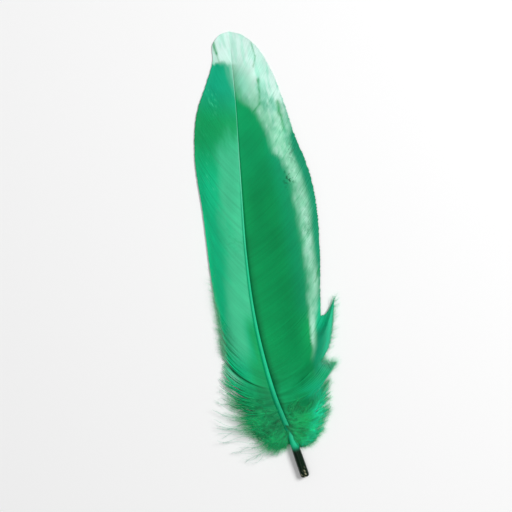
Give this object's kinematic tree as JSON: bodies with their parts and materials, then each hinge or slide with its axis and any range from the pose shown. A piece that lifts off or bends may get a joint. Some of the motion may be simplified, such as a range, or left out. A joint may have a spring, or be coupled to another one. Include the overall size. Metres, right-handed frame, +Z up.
{
  "type": "goose quill feather",
  "caption": "Dyed goose wing feather with a bowed quill shaft, a narrow and a broad vane, and loose down at the base. Lies flat.",
  "frame": {"origin": "middle of the feather's footprint, on the surface it lies on", "axes": "+Y from the quill end towards the tip, +Z up out of the surface, +X towards the broad vane"},
  "size_m": [0.053, 0.1702, 0.0058],
  "materials": {
    "quill": "glossy dyed quill (keratin)",
    "vane": "satin dyed barbs, pale sheen on the crest",
    "down": "matte dyed down"
  },
  "bodies": {
    "root": {"shaft": "quill", "narrow_vane": "vane", "broad_vane": "vane"}
  },
  "joints": []
}
